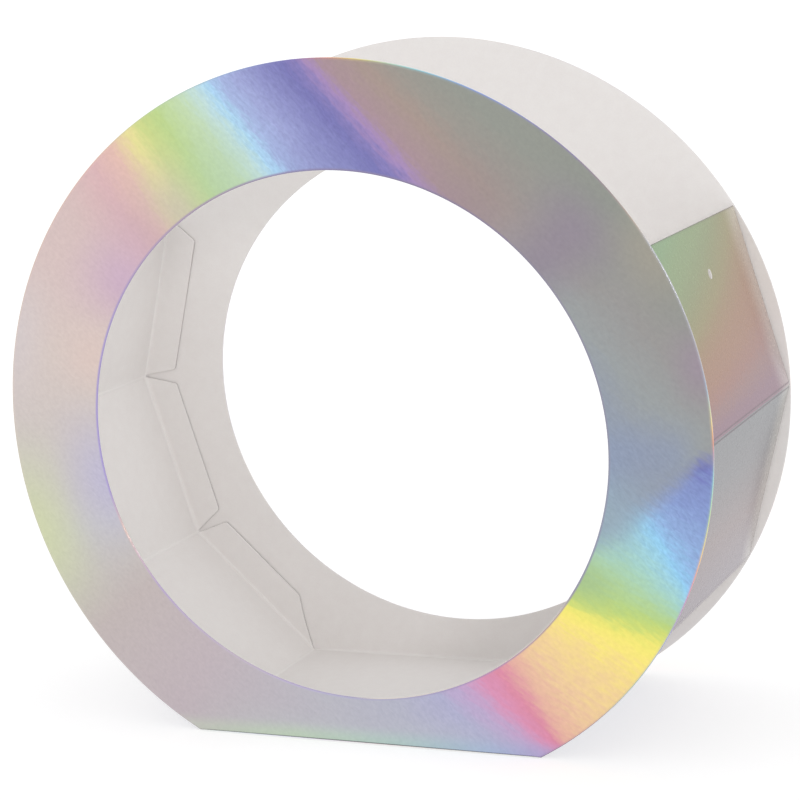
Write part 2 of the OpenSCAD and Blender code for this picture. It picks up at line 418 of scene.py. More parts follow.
# Where the rim and the window lie at each turn
turn = add(ring_tree, "ShaderNodeMath", {0: where["Y"], 1: math.tau, 2: math.pi}, operation="MULTIPLY_ADD")
cosine = add(ring_tree, "ShaderNodeMath", {0: turn}, operation="COSINE")
sine = add(ring_tree, "ShaderNodeMath", {0: turn}, operation="SINE")
rim_x = add(ring_tree, "ShaderNodeMath", {0: given["Half Width"], 1: cosine}, operation="MULTIPLY")
oval_z = add(ring_tree, "ShaderNodeMath", {0: given["Half Height"], 1: sine, 2: given["Centre Height"]},
             operation="MULTIPLY_ADD")
rim_z = add(ring_tree, "ShaderNodeMath", {0: oval_z, 1: 0.0}, operation="MAXIMUM")
at_foot = add(ring_tree, "ShaderNodeMath", {0: oval_z, 1: BELOW_BASE * MM}, operation="LESS_THAN")
window_rx = add(ring_tree, "ShaderNodeMath", {0: given["Half Width"], 1: given["Rim Width"]},
                operation="SUBTRACT")
window_rz = add(ring_tree, "ShaderNodeMath", {0: given["Half Height"], 1: given["Rim Width"]},
                operation="SUBTRACT")
window_mid = add(ring_tree, "ShaderNodeMath", {0: given["Centre Height"], 1: given["Window Drop"]},
                 operation="SUBTRACT")
window_x = add(ring_tree, "ShaderNodeMath", {0: window_rx, 1: cosine}, operation="MULTIPLY")
window_z = add(ring_tree, "ShaderNodeMath", {0: window_rz, 1: sine, 2: window_mid}, operation="MULTIPLY_ADD")
rim_at = add(ring_tree, "ShaderNodeCombineXYZ", {"X": rim_x, "Z": rim_z})
window_at = add(ring_tree, "ShaderNodeCombineXYZ", {"X": window_x, "Z": window_z})

# The section's point and its wear and painted shade for each column, at the rim or at the foot
section_point = add(ring_tree, "GeometryNodeInputPosition").outputs[0]
section_wear_and_shade = add(ring_tree, "GeometryNodeInputNamedAttribute", {"Name": "wear"},
                   data_type="FLOAT").outputs[0]
samples = [add(ring_tree, "GeometryNodeSampleIndex", {"Geometry": shape, "Value": value, "Index": column},
               data_type=kind, domain="POINT")
           for kind, value in (("FLOAT_VECTOR", section_point), ("FLOAT", section_wear_and_shade))
           for shape in (rim_info, foot_info)]
section = add(ring_tree, "GeometryNodeSwitch", {"Switch": at_foot, "False": samples[0], "True": samples[1]},
              input_type="VECTOR")
wear = add(ring_tree, "GeometryNodeSwitch", {"Switch": at_foot, "False": samples[2], "True": samples[3]},
           input_type="FLOAT")

# Each grid point goes to its place between rim and window, and to its depth from the face
part = add(ring_tree, "ShaderNodeSeparateXYZ", {0: section}).outputs
inward = add(ring_tree, "ShaderNodeVectorMath", {0: window_at, 1: rim_at}, operation="SUBTRACT")
inward = add(ring_tree, "ShaderNodeVectorMath", {0: inward}, operation="NORMALIZE")
step = add(ring_tree, "ShaderNodeVectorMath", {0: inward, "Scale": part["Y"]}, operation="SCALE")
across = add(ring_tree, "ShaderNodeMix", {0: part["X"], 4: rim_at, 5: window_at}, data_type="VECTOR")
flat = add(ring_tree, "ShaderNodeVectorMath", {0: across.outputs[1], 1: step}, operation="ADD")
level = add(ring_tree, "ShaderNodeMath", {0: given["Face Distance"], 1: part["Z"]}, operation="SUBTRACT")
level = add(ring_tree, "ShaderNodeMath", {0: level, 1: given["Side"]}, operation="MULTIPLY")
flat_part = add(ring_tree, "ShaderNodeSeparateXYZ", {0: flat}).outputs
place_at = add(ring_tree, "ShaderNodeCombineXYZ", {"X": flat_part["X"], "Y": level, "Z": flat_part["Z"]})
stored = add(ring_tree, "GeometryNodeStoreNamedAttribute",
             {"Geometry": grid.outputs["Mesh"], "Name": "wear", "Value": wear},
             data_type="FLOAT", domain="POINT")
moved = add(ring_tree, "GeometryNodeSetPosition", {"Geometry": stored, "Position": place_at})
merged = add(ring_tree, "GeometryNodeMergeByDistance", {"Geometry": moved, "Distance": MERGE_GAP * MM})
real = add(ring_tree, "GeometryNodeRealizeInstances", {"Geometry": merged})
faced = add(ring_tree, "GeometryNodeSetMaterial", {"Geometry": real, "Material": given["Finish"]})
add(ring_tree, "NodeGroupOutput", {"Geometry": faced})

# The rings' bands, in mm and degrees: streaks and finer crinkles in the film, which lean with the two fans,
# soft clouds, and the upper fan's far pole with its first and last ray
TOP_LEAN, LOWER_LEAN = math.radians(-48), math.radians(-32)
STREAK = (7.0, 1.6)
CRINKLE = (2.4, 1.0)
CLOUD_W = 45.0
FAN_POLE = (-320.0, 498.0)
FAN = (-66.5, -42.5)
FAN_JAG = 0.95
PEACH_TURN = 89.5
LIP_TURN = 107.0
PAINTED_GLINT = 0.95


def ring_paint(tree, spot, dents):
    """Two fans of spectral bands, one over the top and one at the lower right, with pale greys between them.
    Turns run clockwise from the upper right, in degrees. The width runs from -0.5 at the window to 0.5 at
    the rim."""
    at = add(tree, "ShaderNodeSeparateXYZ", {0: spot}).outputs
    height = add(tree, "ShaderNodeMath", {0: at["Z"], 1: RING_Z * MM}, operation="SUBTRACT")
    flat = add(tree, "ShaderNodeCombineXYZ", {"X": at["X"], "Y": height})
    streaks = []
    for lean in (TOP_LEAN, LOWER_LEAN):
        streaked = add(tree, "ShaderNodeMapping", {"Vector": flat, "Rotation": (0, 0, lean),
                                                   "Scale": (STREAK[0] * MM, STREAK[1] * MM, 1)},
                       vector_type="TEXTURE")
        noise = add(tree, "ShaderNodeTexNoise", {"Vector": streaked, "Scale": 1.0, "Detail": 4.0})
        streaks.append(add(tree, "ShaderNodeMath", {0: noise.outputs["Fac"], 1: 0.5}, operation="SUBTRACT"))
    crinkled = add(tree, "ShaderNodeMapping", {"Vector": flat, "Rotation": (0, 0, TOP_LEAN),
                                               "Scale": (CRINKLE[0] * MM, CRINKLE[1] * MM, 1)},
                   vector_type="TEXTURE")
    crinkles = add(tree, "ShaderNodeTexNoise",
                   {"Vector": crinkled, "Scale": 1.0, "Detail": 3.0, "Distortion": 0.6})
    clouds = add(tree, "ShaderNodeTexNoise", {"Vector": flat, "Scale": 1 / (CLOUD_W * MM), "Detail": 2.0})
    drift = add(tree, "ShaderNodeMath", {0: clouds.outputs["Fac"], 1: 0.5}, operation="SUBTRACT")
    oval = add(tree, "ShaderNodeMapping",
               {"Vector": flat, "Scale": (1 / (RING_RX * MM), 1 / (RING_RZ * MM), 1)})
    reach = add(tree, "ShaderNodeVectorMath", {0: oval}, operation="LENGTH").outputs["Value"]
    width = add(tree, "ShaderNodeMapRange", {0: reach, 1: 0.725, 2: 1.0, 3: -0.5, 4: 0.5})
    clockwise = add(tree, "ShaderNodeMapping", {"Vector": flat, "Scale": (1, -1, 1),
                                                "Rotation": (0, 0, math.radians(-135))})
    turn = add(tree, "ShaderNodeTexGradient", {"Vector": clockwise}, gradient_type="RADIAL").outputs["Fac"]
    turn = add(tree, "ShaderNodeMath", {0: turn, 1: 360.0}, operation="MULTIPLY")

    # Across the ring's width each main band of the lower fan leans its own way, so that the hues between two
    # of them spread or crowd together: each band's turn and lean
    leans = ((50.0, 0.0), (59.2, 16.0), (76.9, -5.2), (98.4, 2.0), (106.5, -8.0), (110.4, -11.0),
             (171.0, 0.0))
    band = add(tree, "ShaderNodeMath", {0: turn, 1: leans[-1][0]}, operation="SUBTRACT")
    band = add(tree, "ShaderNodeMath", {0: band, 1: 0.0}, operation="MAXIMUM")
    for (first, first_lean), (last, last_lean) in zip(leans, leans[1:]):
        first_turn = add(tree, "ShaderNodeMath", {0: width, 1: first_lean, 2: first},
                         operation="MULTIPLY_ADD")
        last_turn = add(tree, "ShaderNodeMath", {0: width, 1: last_lean, 2: last},
                        operation="MULTIPLY_ADD")
        passed = add(tree, "ShaderNodeMapRange", {0: turn, 1: first_turn, 2: last_turn, 4: last - first},
                     clamp=False)
        passed = add(tree, "ShaderNodeMath", {0: passed, 1: last - first}, operation="MINIMUM")
        if first > leans[0][0]:
            passed = add(tree, "ShaderNodeMath", {0: passed, 1: 0.0}, operation="MAXIMUM")
        band = add(tree, "ShaderNodeMath", {0: band, 1: passed}, operation="ADD")
    band = add(tree, "ShaderNodeMath", {0: band, 1: leans[0][0]}, operation="ADD")

    # The streaks shift the bands, most of all in the peach one
    from_peach = add(tree, "ShaderNodeMath", {0: band, 1: PEACH_TURN}, operation="SUBTRACT")
    from_peach = add(tree, "ShaderNodeMath", {0: from_peach}, operation="ABSOLUTE")
    streakiness = add(tree, "ShaderNodeMapRange", {0: from_peach, 1: 3.0, 2: 9.0, 3: 15.0, 4: 4.0},
                      interpolation_type="SMOOTHSTEP")
    band = add(tree, "ShaderNodeMath", {0: streaks[1], 1: streakiness, 2: band}, operation="MULTIPLY_ADD")
    band_share = add(tree, "ShaderNodeMath", {0: band, 1: 360.0}, operation="DIVIDE")
    round_bands = add(tree, "ShaderNodeValToRGB", {0: band_share})
    lay_stops(round_bands, [
        (48.9, "#7577B8"), (49.8, "#7C86BF"), (50.8, "#8796C9"), (53, "#8A9CCE"), (55, "#91A9D6"),
        (57, "#95B2DE"), (58, "#96BDE5"), (59.2, "#97C7ED"), (60.5, "#98CFF0"), (64, "#A3D3DE"),
        (68, "#ABD5C2"), (72, "#B4D49C"), (75.2, "#BDD680"), (77.4, "#D2DE7A"), (79.2, "#F6EC78"),
        (81.4, "#FBEA80"), (84.5, "#F8DF8F"), (89, "#F4D59A"), (94, "#EFCAA2"), (98, "#E9B8A5"),
        (101.3, "#DE8FA8"), (104.2, "#DC97B9"), (107.4, "#C3AACF"), (112.4, "#B3B3D0"), (124, "#B8B9C8"),
        (140, "#BCBBC4"), (171, "#C2B6BB"), (190, "#C3B8B6"), (206, "#C9C8C4"), (225, "#CFC6C2"),
        (240, "#D7C8C2"), (267, "#D8BDBD")], 0, 360)

    # The upper fan by its rays' angles, with greys and clouds towards the right
    pole = add(tree, "ShaderNodeMapping",
               {"Vector": flat, "Location": (-FAN_POLE[0] * MM, -FAN_POLE[1] * MM, 0)})
    fan = add(tree, "ShaderNodeTexGradient", {"Vector": pole}, gradient_type="RADIAL").outputs["Fac"]
    fan = add(tree, "ShaderNodeMath", {0: streaks[0], 1: FAN_JAG / 360, 2: fan}, operation="MULTIPLY_ADD")
    fan = add(tree, "ShaderNodeMapRange", {0: fan, 1: 0.5 + FAN[0] / 360, 2: 0.5 + FAN[1] / 360})
    top_bands = add(tree, "ShaderNodeValToRGB", {0: fan})
    lay_stops(top_bands, [
        (-66, "#D6C8C4"), (-63, "#D6C0BD"), (-60.6, "#DBB7B9"), (-59.1, "#E5BFB4"), (-57.8, "#E9E09C"),
        (-57, "#CFD98F"), (-55.9, "#BFD690"), (-54.4, "#C5DCB4"), (-53.4, "#C4DFDC"), (-52.7, "#B0D8F4"),
        (-52.1, "#A9B9E1"), (-51.2, "#A3AAD7"), (-50.1, "#9092C6"), (-49.0, "#7D7BB6"), (-48.5, "#8C82BA"),
        (-48.05, "#A98EBD"), (-47.5, "#AC939B"), (-46.2, "#AA9890"), (-45.2, "#9E9A92"), (-44, "#979A92")],
        *FAN)
    cloudy = add(tree, "ShaderNodeMath", {0: drift, 1: 0.09, 2: fan}, operation="MULTIPLY_ADD")
    right_bands = add(tree, "ShaderNodeValToRGB", {0: cloudy})
    lay_stops(right_bands, [
        (-50.5, "#93A2B8"), (-48.5, "#979FAB"), (-47.3, "#9DA2A3"), (-45.6, "#9C9A98"), (-43.5, "#949790")],
        *FAN)
    lean = add(tree, "ShaderNodeMath", {0: at["X"], 1: height}, operation="SUBTRACT")
    rightward = add(tree, "ShaderNodeMapRange", {0: lean, 1: -35 * MM, 2: 25 * MM},
                    interpolation_type="SMOOTHSTEP")
    upper = add(tree, "ShaderNodeMix",
                {0: rightward, 6: top_bands.outputs["Color"], 7: right_bands.outputs["Color"]},
                data_type="RGBA")

    # The lower fan sets in as a wedge, at 45 to 49 degrees along the rim and at 59 to 73 along the window,
    # and gives way to the upper one between 250 and 270 degrees
    wedge_start = add(tree, "ShaderNodeMath", {0: width, 1: -15.6, 2: 51.0}, operation="MULTIPLY_ADD")
    wedge_start = add(tree, "ShaderNodeMath", {0: wedge_start, 1: 45.3}, operation="MAXIMUM")
    wedge_full = add(tree, "ShaderNodeMath", {0: width, 1: -27.0, 2: 59.4}, operation="MULTIPLY_ADD")
    wedge_full = add(tree, "ShaderNodeMath", {0: wedge_full, 1: 49.4}, operation="MAXIMUM")
    feathered = add(tree, "ShaderNodeMath", {0: streaks[1], 1: 3.0, 2: turn}, operation="MULTIPLY_ADD")
    after_wedge = add(tree, "ShaderNodeMapRange", {0: feathered, 1: wedge_start, 2: wedge_full},
                      interpolation_type="SMOOTHSTEP")
    before_top = add(tree, "ShaderNodeMapRange", {0: turn, 1: 250.0, 2: 270.0, 3: 1.0, 4: 0.0},
                     interpolation_type="SMOOTHSTEP")
    lower_share = add(tree, "ShaderNodeMath", {0: after_wedge, 1: before_top}, operation="MULTIPLY")
    whole = add(tree, "ShaderNodeMix",
                {0: lower_share, 6: upper.outputs[2], 7: round_bands.outputs["Color"]},
                data_type="RGBA").outputs[2]

    # Soft tints over the bands: turn, half of the spread, widths where they start and are full, strength
    for middle, spread, start, full, strength, code in (
            (7, 12, 0.5, 0.0, 0.8, "#958A98"), (17, 10, 0.0, 0.5, 0.8, "#A5A093"),
            (34, 8, 0.1, 0.5, 0.9, "#9F929E"), (47, 8, 0.45, 0.1, 0.55, "#8F9BB6"),
            (60, 11, 0.1, -0.5, 0.9, "#9AADB9"), (74, 7, 0.1, -0.5, 0.7, "#A3BF92"),
            (271, 9, 0.4, -0.5, 0.55, "#C4A9B3"), (280, 9, 0.4, -0.5, 0.8, "#C6C0B2"),
            (292, 13, 0.4, -0.5, 0.5, "#B2CDB4"), (315, 15, 0.0, -0.5, 0.3, "#7F80B6"),
            (350, 18, 0.4, -0.4, 0.5, "#9B8E90"), (137, 34, -0.3, 0.5, 0.9, "#CBDBD4"),
            (124, 12, -0.1, 0.3, 0.5, "#ABC3CC"), (208, 20, -0.2, 0.5, 0.85, "#D0D6AC"),
            (214, 20, 0.2, -0.5, 0.8, "#BEB9D6"), (240, 16, 0.0, 0.5, 0.6, "#D3CBCE"),
            (240, 10, 0.1, -0.4, 0.6, "#DEC7BF"), (259, 14, 0.3, -0.5, 0.85, "#CBAFC6")):
        away = add(tree, "ShaderNodeMath", {0: turn, 1: float(middle)}, operation="SUBTRACT")
        away = add(tree, "ShaderNodeMath", {0: away, 1: 180.0}, operation="PINGPONG")
        near = add(tree, "ShaderNodeMapRange", {0: away, 1: 0.0, 2: float(spread), 3: strength, 4: 0.0},
                   interpolation_type="SMOOTHSTEP")
        side = add(tree, "ShaderNodeMapRange", {0: width, 1: start, 2: full},
                   interpolation_type="SMOOTHSTEP")
        share = add(tree, "ShaderNodeMath", {0: near, 1: side}, operation="MULTIPLY")
        whole = add(tree, "ShaderNodeMix", {0: share, 6: whole, 7: tone(code)}, data_type="RGBA").outputs[2]

    # Painted glints: the fine crinkles scale the colour up and down, most in the blues and violets
    parts = add(tree, "ShaderNodeSeparateColor", {0: whole}).outputs
    coolness = add(tree, "ShaderNodeMath", {0: parts["Blue"], 1: parts["Red"]}, operation="SUBTRACT",
                   use_clamp=True)
    coolness = add(tree, "ShaderNodeMath", {0: coolness, 1: 0.12}, operation="ADD")
    painted_glint = add(tree, "ShaderNodeMath", {0: crinkles.outputs["Fac"], 1: 0.5}, operation="SUBTRACT")
    painted_glint = add(tree, "ShaderNodeMath", {0: painted_glint, 1: coolness}, operation="MULTIPLY")
    painted_glint = add(tree, "ShaderNodeMath", {0: painted_glint, 1: PAINTED_GLINT, 2: 1.0}, operation="MULTIPLY_ADD")
    whole = add(tree, "ShaderNodeVectorMath", {0: whole, "Scale": painted_glint}, operation="SCALE").outputs[0]

    # Along the foot, in its lowest 8 mm, the film turns to green and teal: partly its own colour, partly a
    # painted highlight where it bends into the fold
    low = add(tree, "ShaderNodeMapRange", {0: at["Z"], 1: 8 * MM, 2: 0.5 * MM, 3: 0.0, 4: 0.6},
              interpolation_type="SMOOTHSTEP")
    along = add(tree, "ShaderNodeMapRange", {0: at["X"], 1: -BASE_L / 2 * MM, 2: BASE_L / 2 * MM})
    foot_bands = add(tree, "ShaderNodeValToRGB", {0: along})
    lay_stops(foot_bands, [
        (0.0, "#C8D2BE"), (0.3, "#BFD8B4"), (0.6, "#B0CFC4"), (0.85, "#A6BEDA"), (1.0, "#B0A8D4")])
    whole = add(tree, "ShaderNodeMix", {0: low, 6: whole, 7: foot_bands.outputs["Color"]},
                data_type="RGBA").outputs[2]

    # The stretched film at the rim with painted glints along it, a painted contact shadow along the foot's
    # fold, and the film at the window
    share = add(tree, "ShaderNodeMath", {0: turn, 1: 360.0}, operation="DIVIDE")
    rim_bands = add(tree, "ShaderNodeValToRGB", {0: share})
    # From 105.5 to 164.5 degrees the dark stops are the painted contact shadow at the foot; the light stops
    # elsewhere include painted glints
    lay_stops(rim_bands, [
        (0, "#9A8BA8"), (5, "#A2949A"), (12, "#C4B5A6"), (16, "#BCC0CA"), (34, "#B8B5BE"),
        (37.5, "#A4BAD2"), (40, "#C8D4B4"), (42, "#F4DC98"), (44.5, "#EE9A72"), (46.5, "#C4A2B4"),
        (50, "#9CD4D0"), (56, "#C4DC98"), (61, "#F2D084"), (65, "#EE9C86"), (69, "#C888B8"),
        (75, "#A0A4DC"), (84, "#8FB0A8"), (93, "#A08E9C"), (103, "#8C7E90"), (105.5, "#3C3640"),
        (164.5, "#3C3640"), (167, "#C8C0C4"), (200, "#D8D4C8"), (272, "#E8C8B4"), (286, "#C4D8B0"),
        (300, "#A8C0E0"), (312, "#8A80C0"), (318, "#E89C84"), (322.5, "#F0E07C"), (331, "#A2E2E6"),
        (341, "#90AAEC"), (355, "#958AB4")], 0, 360)
    window_bands = add(tree, "ShaderNodeValToRGB", {0: share})
    lay_stops(window_bands, [
        (0, "#8D8798"), (60, "#9295A8"), (78, "#8E86A8"), (88, "#94809F"), (104, "#A08CB0"),
        (116, "#A094B8"), (128, "#A6A2BC"), (140, "#B0ACC8"), (152, "#B8AECC"), (165, "#C0B4C2"),
        (188, "#B4A6C8"), (203, "#D6BCB0"), (211, "#A89CCB"), (228, "#A196CC"), (248, "#A297C6"),
        (265, "#A898B6"), (290, "#A192A8"), (310, "#8C86A8"), (340, "#8A8098")], 0, 360)

    # Low in the window the film ends short of the cut, and a lip of board shows
    wear = add(tree, "ShaderNodeAttribute", attribute_name="wear").outputs["Fac"]
    short = add(tree, "ShaderNodeMapRange", {0: wear, 1: 0.86, 2: 0.94})
    from_low = add(tree, "ShaderNodeMath", {0: turn, 1: LIP_TURN}, operation="SUBTRACT")
    from_low = add(tree, "ShaderNodeMath", {0: from_low}, operation="ABSOLUTE")
    lip = add(tree, "ShaderNodeMapRange", {0: from_low, 1: 24.0, 2: 30.0, 3: short, 4: 0.0})
    lipped = add(tree, "ShaderNodeMix", {0: lip, 6: window_bands.outputs["Color"], 7: tone("#E2DBD1")},
                 data_type="RGBA")
    at_window = add(tree, "ShaderNodeMath", {0: reach, 1: 0.8}, operation="LESS_THAN")
    edges = add(tree, "ShaderNodeMix", {0: at_window, 6: rim_bands.outputs["Color"], 7: lipped.outputs[2]},
                data_type="RGBA")
    return whole, edges.outputs[2]


ring_film = holographic_film("holographic_film_rings", ring_paint, depth=0.007, mirror=0.4, haze=0.13)
for layer, suffix, material, slot in layers(ring_film):
    rim_section = ring_section(cut_edge(), layer, f"rim_section_{suffix}")
    foot_section = ring_section(folded_edge(RING_FOLD_R, RING_FOLD_WEAR_AND_SHADE), layer, f"foot_section_{suffix}")
    for edge, side in (("front", -1.0), ("back", 1.0)):
        holder = bpy.data.objects.new(f"{edge}_ring_{suffix}_maker", bpy.data.meshes.new("ring"))
        bpy.context.scene.collection.objects.link(holder)
        maker = holder.modifiers.new("ring_panel", "NODES")
        maker.node_group = ring_tree
        sizes = {"Half Width": RING_RX * MM, "Half Height": RING_RZ * MM, "Rim Width": RIM_W * MM,
                 "Window Drop": WINDOW_DROP * MM, "Centre Height": RING_Z * MM,
                 "Face Distance": DEPTH / 2 * MM, "Side": side, "Turns": RING_TURNS,
                 "Rim Section": rim_section, "Foot Section": foot_section, "Finish": material}
        for socket in ring_tree.interface.items_tree:
            if socket.name in sizes:
                maker[socket.identifier] = sizes[socket.name]
        graph = bpy.context.evaluated_depsgraph_get()
        shaped = bpy.data.meshes.new_from_object(holder.evaluated_get(graph))
        bpy.data.objects.remove(holder)
        turned = bmesh.new()
        turned.from_mesh(shaped)
        piece = settle(f"{edge}_ring_{suffix}", turned)
        piece.data.materials.append(material)
        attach(piece, f"{edge}_ring")
        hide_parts(f"{edge}_ring_{layer}")
    bpy.data.objects.remove(rim_section)
    bpy.data.objects.remove(foot_section)


# Side walls
# Three flat panels a side, creased to each other and to the base, that carry the rings' rims around to above
# half height. Each upper wall ends in a die-cut edge and has a punched hole for a ribbon.
SIDES = (("left", -1.0), ("right", 1.0))
LEVELS = ("lower", "middle", "upper")
TAPE_T = 0.15
TAPE_GAP = 0.05
WALL_INSET = SHEET_T + TAPE_GAP + TAPE_T
WALL_W = DEPTH - 2 * WALL_INSET
TAB_FOLD_R = 1.2
# How far the walls' folds to the tabs take the dark edge colour: wear and painted shade
TAB_FOLD_WEAR_AND_SHADE = 0.35
HOLE_D = 4.0
HOLE_INSET = 20.0
HOLE_DRAW = 0.1
corners = [Vector((RING_RX * math.cos(FOOT_TURN + level * WALL_TURN),
                   RING_Z + RING_RZ * math.sin(FOOT_TURN + level * WALL_TURN))) for level in range(4)]
runs = [corners[level + 1] - corners[level] for level in range(3)]
slopes = [math.atan2(run.y, run.x) for run in runs]
folds = [slopes[0], slopes[1] - slopes[0], slopes[2] - slopes[1]]


def wall_place(side, level):
    """Carries (along, across, depth) on a flat wall to its place in the strip."""
    foot, slope = corners[level], slopes[level]

    def placed(a, b, d):
        x = foot.x + a * math.cos(slope) - d * math.sin(slope)
        z = foot.y + a * math.sin(slope) + d * math.cos(slope)
        return Vector((side * x, b, z)) * MM
    return placed


def wall_paint(tree, spot, dents):
    """Green, tan and mauve bands that fan out over the upper walls, and pale greys on the walls below."""
    upper_foot, upper_top = corners[2].y * MM, corners[3].y * MM
    at = add(tree, "ShaderNodeSeparateXYZ", {0: spot}).outputs
    risen = add(tree, "ShaderNodeMapRange", {0: at["Z"], 1: upper_foot, 2: upper_top})
    fanned = add(tree, "ShaderNodeMapRange",
                 {0: at["Y"], 1: -DEPTH / 2 * MM, 2: DEPTH / 2 * MM, 3: 1.0, 4: 0.4})
    share = add(tree, "ShaderNodeMath", {0: risen, 1: fanned}, operation="MULTIPLY")
    jagged = add(tree, "ShaderNodeMath", {0: dents.outputs["Fac"], 1: 0.06, 2: share},
                 operation="MULTIPLY_ADD")
    upper = add(tree, "ShaderNodeValToRGB", {0: jagged})
    lay_stops(upper, [
        (0.07, "#A18893"), (0.13, "#A78C8C"), (0.19, "#AD8B84"), (0.25, "#AF8E7F"), (0.33, "#AF907D"),
        (0.41, "#AB957C"), (0.48, "#A69D7D"), (0.57, "#A0A180"), (0.63, "#9DA583"), (0.71, "#9CAA86"),
        (0.81, "#9BAD88"), (0.93, "#97B08C")])
    sunk = add(tree, "ShaderNodeMapRange", {0: at["Z"], 1: upper_foot, 2: 0.0})
    sunk = add(tree, "ShaderNodeMath", {0: dents.outputs["Fac"], 1: 0.05, 2: sunk}, operation="MULTIPLY_ADD")
    below = add(tree, "ShaderNodeValToRGB", {0: sunk})
    lay_stops(below, [
        (0.0, "#888A8D"), (0.2, "#8F8E91"), (0.4, "#9F9394"), (0.56, "#A0989E"), (0.7, "#A49EA4"),
        (0.85, "#A7A1AC"), (1.0, "#A6A7B4")])
    high = add(tree, "ShaderNodeMath", {0: at["Z"], 1: upper_foot}, operation="GREATER_THAN")
    bands = add(tree, "ShaderNodeMix", {0: high, 6: below.outputs["Color"], 7: upper.outputs["Color"]},
                data_type="RGBA")

    # A paler strip along the back fold is a painted reflection of the white ring that the film mirrors there
    painted_reflection = add(tree, "ShaderNodeMapRange", {0: at["Y"], 1: 34 * MM, 2: 52 * MM, 3: 0.0, 4: 0.45},
                   interpolation_type="SMOOTHSTEP")
    whole = add(tree, "ShaderNodeMix", {0: painted_reflection, 6: bands.outputs[2], 7: tone("#E2DED6")},
                data_type="RGBA")
    # The walls' and tabs' edges take the dark colour: the stretched film's tint at cut edges, and painted
    # shade in creases and folds
    edges = add(tree, "ShaderNodeMix", {0: 0.75, 6: whole.outputs[2], 7: tone(EDGE_TINT_AND_SHADE)}, data_type="RGBA")
    return whole.outputs[2], edges.outputs[2]


wall_film = holographic_film("holographic_film_walls", wall_paint, depth=0.008, mirror=0.2, haze=0.25)
for side, sign in SIDES:
    for level, level_name in enumerate(LEVELS):
        top_wall = level == len(LEVELS) - 1
        length = runs[level].length
        ends = [creased_edge(folds[level]), cut_edge() if top_wall else creased_edge(folds[level + 1])]
        hole = (length - HOLE_INSET, 0.0, HOLE_D / 2, cut_edge(HOLE_DRAW)) if top_wall else None
        for layer, suffix, material, slot in layers(wall_film):
            piece = panel(f"{side}_{level_name}_wall_{suffix}", layer, ends,
                          [folded_edge(TAB_FOLD_R, TAB_FOLD_WEAR_AND_SHADE)] * 2, length,
                          lambda a: -WALL_W / 2, lambda a: WALL_W / 2, wall_place(sign, level), punch=hole)
            piece.data.materials.append(material)
            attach(piece, f"{side}_{level_name}_wall")
            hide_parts(f"{side}_{level_name}_wall_{layer}")


# Glue tabs
# Narrow flaps creased to the walls' long edges and turned in behind the rings, which stick to them.
# Their ends slant so that neighbours clear each other. A lower tab's foot follows the rim it was cut from.
TAB_W = 15.0
TAB_SLANT = 7.5
TAB_RELIEF = 0.3
TAB_ROUND = 1.0
TAB_DRAW = 0.12
BLANK_CUT = 0.5
TAB_STOPS = [3.0, 4.5, 6.0, 7.5, 9.0, 10.5, 12.0]


def tab_foot(level, out):
    """Place along the crease where a tab's foot end lies, at a distance out from the crease."""
    if level > 0:
        return TAB_RELIEF + (TAB_SLANT - TAB_RELIEF) * out / TAB_W
    drop = (RING_Z + WALL_INSET - out) / (RING_RZ + BLANK_CUT)
    return max(TAB_RELIEF, (RING_RX + BLANK_CUT) * math.sqrt(1 - drop * drop) - BASE_L / 2)


def tab_head(length, out):
    """The same for its head end, on a wall of some length."""
    return length - TAB_RELIEF - (TAB_SLANT - TAB_RELIEF) * out / TAB_W


def eased_end(end, out):
    """A tab's end line with its tip corner eased over TAB_ROUND to each side."""
    tip = end(TAB_W)
    lean = Vector((end(TAB_W - TAB_ROUND) - tip, -TAB_ROUND)).normalized()
    share = (TAB_W - out) / (-lean.y * TAB_ROUND)
    if share >= 1:
        return end(out)
    ahead = 1.0 if end(0) < tip else -1.0
    return tip + TAB_ROUND * (lean.x * share + ahead * (1 - math.sqrt(share)) ** 2)


def tab_place(side, level, edge):
    """Carries (out, along, depth) on a flat tab to its folded place on a wall's front or back edge."""
    on_wall = wall_place(side, level)
    return lambda a, b, d: on_wall(b, edge * (WALL_W / 2 - d), a)


for side, sign in SIDES:
    for level, level_name in enumerate(LEVELS):
        length = runs[level].length
        for edge, way in (("front", -1.0), ("back", 1.0)):
            for layer, suffix, material, slot in layers(wall_film):
                piece = panel(f"{side}_{level_name}_{edge}_tab_{suffix}", layer,
                              [folded_edge(TAB_FOLD_R, TAB_FOLD_WEAR_AND_SHADE), cut_edge(TAB_DRAW)],
                              [cut_edge(TAB_DRAW)] * 2, TAB_W,
                              lambda a: eased_end(lambda out: tab_foot(level, out), a),
                              lambda a: eased_end(lambda out: tab_head(length, out), a),
                              tab_place(sign, level, way), TAB_STOPS)
                piece.data.materials.append(material)
                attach(piece, f"{side}_{level_name}_{edge}_tab")
                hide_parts(f"{side}_{level_name}_{edge}_tab_{layer}")


# Adhesive tape
# Strips of double-sided tissue tape between each tab and its ring, in their CAD shape.
# The acrylic glue is a milky film, slightly uneven in colour and gloss where it wets the card.
WET_W = 3.0
tape = bpy.data.materials.new("adhesive_tape_tissue")
tape.use_nodes = True
tree = tape.node_tree
spot = add(tree, "ShaderNodeTexCoord").outputs["Object"]
wetting = add(tree, "ShaderNodeTexNoise", {"Vector": spot, "Scale": 1 / (WET_W * MM), "Detail": 3.0})
milk = add(tree, "ShaderNodeValToRGB", {0: wetting.outputs["Fac"]})
lay_stops(milk, [(0.35, "#E9E4D2"), (0.65, "#F6F3E8")])
gloss = add(tree, "ShaderNodeMapRange", {0: wetting.outputs["Fac"], 1: 0.3, 2: 0.7, 3: 0.3, 4: 0.5})
shader = tree.nodes["Principled BSDF"]
tree.links.new(milk.outputs["Color"], shader.inputs["Base Color"])
tree.links.new(gloss.outputs["Result"], shader.inputs["Roughness"])
